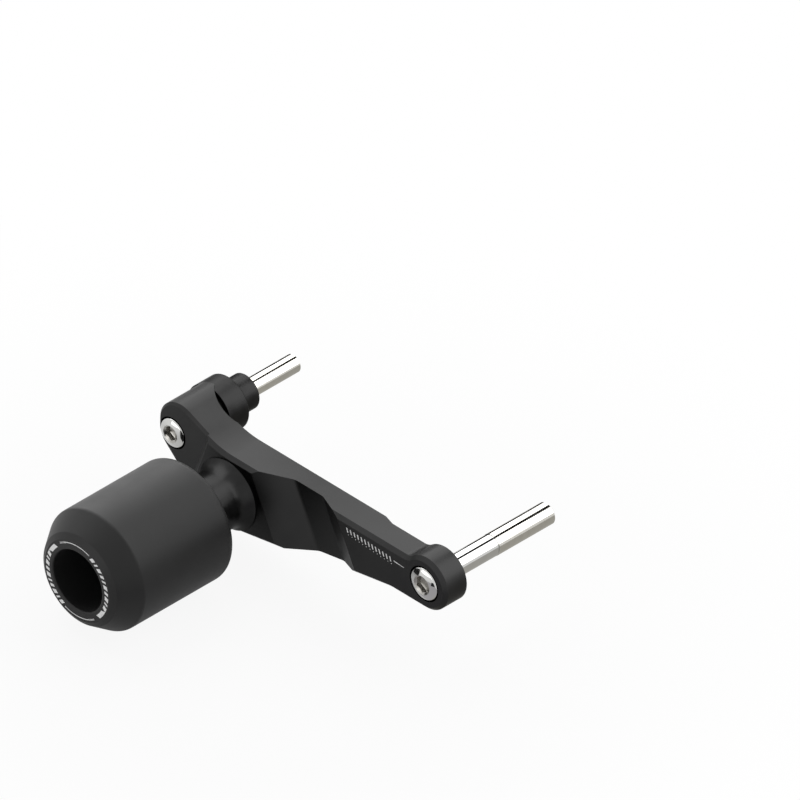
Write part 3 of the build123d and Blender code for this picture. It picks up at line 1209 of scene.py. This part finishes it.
@dataclass(frozen=True)
class Card:
    """A card mirrored in bright metal, glowing in its own tone: black draws a line or a spot, grey
    paints a shaded band, a painted reflection.

    The camera, diffuse light and shadows pass it by.
    """

    name: str
    centre: Place
    away: Place                        # where its back looks
    sides: Point                       # millimetres, as its centre
    along: Place = ALONG_BOLTS
    tone: str = "#0c0c0c"

    def hang(self) -> None:
        """Hangs the card, glowing in its own tone; a grey card is a painted reflection."""
        finish = bpy.data.materials.new("card_flag_and_reflection_glow")
        tree = empty_tree(finish)
        # The card glows at a fixed level in its tone and shows only in reflections: where it is
        # grey, a painted reflection
        paint = add_node(tree, "ShaderNodeEmission", {"Color": linear(self.tone)})
        add_node(tree, "ShaderNodeOutputMaterial", links={"Surface": paint.outputs[0]})
        card = lay_sheet(self.name, (self.sides[0] * MM, self.sides[1] * MM), finish)
        place = Matrix.Translation(Vector(self.centre) * MM)
        card.matrix_world = place @ panel_axes(Vector(self.away).normalized(), self.along)
        card.visible_camera = card.visible_diffuse = card.visible_shadow = False
        card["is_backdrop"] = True


@dataclass
class Studio:
    """Floor, background, lamps and camera."""

    right: Vector = Vector((0.70711, -0.70694, 0.01555))
    up: Vector = Vector((0.40825, 0.42610, 0.80732))
    back: Vector = Vector((-0.57735, -0.56451, 0.58991))
    centre: Point = (-11.48, 90.79)    # photo centre from the lower bolt's head, right and up
    head: Vector = Vector((-15.4, 0.0, 0.0))
    view_width: float = 394.0
    camera_distance: float = 2.0       # metres, as the next one
    clip_end: float = 50.0
    floor_gap: float = 0.2
    floor_tone: str = "#d4d4d4"
    floor_size: float = 6.0            # metres, as the next three
    floor_middle: Point = (-0.03, 0.09)
    near: float = 0.12                 # from the middle to where the floor starts to fade
    far: float = 0.34                  # and to where it is plain white
    camera_share: float = 0.91         # share of plain white near the object, as the camera sees it
    mirror_share: float = 0.34         # the same as the object mirrors it
    ambient: float = 0.36
    boxes: tuple[Softbox, ...] = (
        Softbox("key_behind", (0.32, 0.53, 0.76), (1.6, 1.0), level=2.0),
        Softbox("side_right", (0.577, -0.50, 0.646), (0.95, 1.25), level=1.8),
        Softbox("side_left", (-0.95, 0.20, 0.22), (1.1, 0.5), level=1.4, along=(0.0, 1.0, 0.0)),
        Softbox("side_behind", (0.42, 0.84, 0.30), (0.95, 0.55), level=1.35),
    )
    cards: tuple[Card, ...] = (
        # The dark line along the middle of each bolt
        Card("card_over_lower", (90.0, 4.0, 78.0), OVERHEAD, (71.0, 31.0)),
        Card("card_over_upper", (98.0, 176.0, 71.0), OVERHEAD, (44.0, 28.0)),
        # The grey lower right of the lower bolt's head, with its dark spot: a painted reflection of
        # glowing cards
        Card("card_front", (-115.0, -25.0, -45.0), DOWNWARD, (190.0, 170.0), tone="#bcbabd"),
        Card("card_front_spot", (-190.0, -18.0, -44.0), DOWNWARD, (120.0, 42.0), tone="#303033"),
        # The dark line along the top edge of each bolt
        Card("card_low_lower", (283.0, 320.0, -44.0), DOWNWARD, (440.0, 62.0), along=BEHIND),
        Card("card_low_upper", (250.0, 443.0, -44.0), DOWNWARD, (560.0, 50.0), along=BEHIND),
        Card("card_far_lower", (340.0, 403.0, 30.0), BEHIND, (160.0, 110.0), along=UPWARD),
        Card("card_far_upper", (340.0, 576.0, 30.0), BEHIND, (160.0, 80.0), along=UPWARD),
        # The shaded lower band of each bolt: a painted reflection of grey glowing cards
        Card("card_under_lower", (150.0, -140.0, -44.0), DOWNWARD, (440.0, 160.0), along=BESIDE,
             tone="#bbb9b4"),
        Card("card_under_upper", (150.0, 33.0, -45.0), DOWNWARD, (440.0, 120.0), along=BESIDE,
             tone="#bbb9b4"),
    )

    def camera(self) -> None:
        """Sets the camera at the photograph's angle."""
        target = self.head + self.right * self.centre[0] + self.up * self.centre[1]
        lens = bpy.data.cameras.new("camera")
        lens.type = "ORTHO"
        lens.ortho_scale = self.view_width * MM
        lens.clip_end = self.clip_end
        camera = bpy.data.objects.new("camera", lens)
        turn = Matrix((self.right, self.up, self.back)).transposed().to_4x4()
        place = Matrix.Translation(target * MM + self.back * self.camera_distance)
        camera.matrix_world = place @ turn
        bpy.context.scene.collection.objects.link(camera)
        bpy.context.scene.camera = camera

    def lights(self) -> None:
        """Hangs the lamps and the cards."""
        middle = (Vector(cad_box[0]) + Vector(cad_box[1])) / 2
        for box in self.boxes:
            box.hang(middle)
        for card in self.cards:
            card.hang()

    def background(self) -> None:
        """Makes the world: white to the camera and in reflections, softer as a light."""
        world = bpy.data.worlds.new("studio")
        bpy.context.scene.world = world
        tree = empty_tree(world)
        ray = add_node(tree, "ShaderNodeLightPath")
        seen = ray.outputs["Is Camera Ray"]
        for kind in ("Is Transmission Ray", "Is Glossy Ray"):
            seen = add_node(
                tree, "ShaderNodeMath", {"operation": "MAXIMUM"}, {0: seen, 1: ray.outputs[kind]}
            ).outputs[0]
        soft, white = (
            add_node(tree, "ShaderNodeBackground", {"Color": linear("#ffffff"), "Strength": level})
            for level in (self.ambient, 1.0)
        )
        mixed = add_node(
            tree, "ShaderNodeMixShader",
            links={0: seen, 1: soft.outputs[0], 2: white.outputs[0]},
        )
        add_node(tree, "ShaderNodeOutputWorld", links={"Surface": mixed.outputs[0]})

    def paper(self) -> Material:
        """Makes the floor's paper, which keeps the object's shadow and fades to plain white.

        Returns:
            The material.
        """
        material = bpy.data.materials.new("paper_pale")
        tree = empty_tree(material)
        where = add_node(tree, "ShaderNodeTexCoord")
        away = add_node(
            tree, "ShaderNodeVectorMath", {"operation": "LENGTH"},
            {"Vector": where.outputs["Object"]},
        )
        ray = add_node(tree, "ShaderNodeLightPath")
        mirrored = add_node(
            tree, "ShaderNodeMath", {"operation": "MAXIMUM"},
            {0: ray.outputs["Is Glossy Ray"], 1: ray.outputs["Is Transmission Ray"]},
        ).outputs[0]
        whites = []
        for seen, level in (
            (mirrored, self.mirror_share), (ray.outputs["Is Camera Ray"], self.camera_share)
        ):
            fade = add_node(
                tree, "ShaderNodeMapRange",
                {"interpolation_type": "SMOOTHSTEP", "From Min": self.near, "From Max": self.far,
                 "To Min": level, "To Max": 1.0},
                {"Value": away.outputs["Value"]},
            )
            whites.append(add_node(
                tree, "ShaderNodeMath", {"operation": "MULTIPLY"},
                {0: seen, 1: fade.outputs["Result"]},
            ).outputs[0])
        share = add_node(
            tree, "ShaderNodeMath", {"operation": "ADD"}, {0: whites[0], 1: whites[1]}
        )
        paper = add_node(tree, "ShaderNodeBsdfDiffuse", {"Color": linear(self.floor_tone)})
        white = add_node(tree, "ShaderNodeEmission", {"Color": linear("#ffffff")})
        mixed = add_node(
            tree, "ShaderNodeMixShader",
            links={0: share.outputs[0], 1: paper.outputs[0], 2: white.outputs[0]},
        )
        add_node(tree, "ShaderNodeOutputMaterial", links={"Surface": mixed.outputs[0]})
        return material

    def floor(self) -> None:
        """Lays the floor just under the object."""
        floor = lay_sheet("floor", (self.floor_size, self.floor_size), self.paper())
        floor.location = (*self.floor_middle, cad_box[0][2] - self.floor_gap * MM)
        floor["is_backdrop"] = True

    def build(self) -> None:
        """Sets up the whole studio."""
        self.camera()
        self.lights()
        self.background()
        self.floor()
        bpy.context.scene.view_settings.view_transform = "Standard"


def main() -> None:
    """Builds the studio and the slider's sub-assemblies in order, and reports each piece."""
    logging.basicConfig(level=logging.INFO, format="%(name)s: %(message)s")
    turned = TurnedAnodised().build()
    Studio().build()
    arm, puck = Arm(), Puck()
    for step in (
        arm.build, arm.dress, puck.build, puck.dress,
        Standoff(turned).build, UpperSpacer(turned).build, Bolts().build,
    ):
        for piece in step():
            log.info("%s: %d faces", piece.name, len(piece.data.polygons))
    boxes = {"cad": cad_box, "visual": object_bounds()}
    {name: [list(corner) for corner in box] for name, box in boxes.items()}


if __name__ == "__main__":
    main()
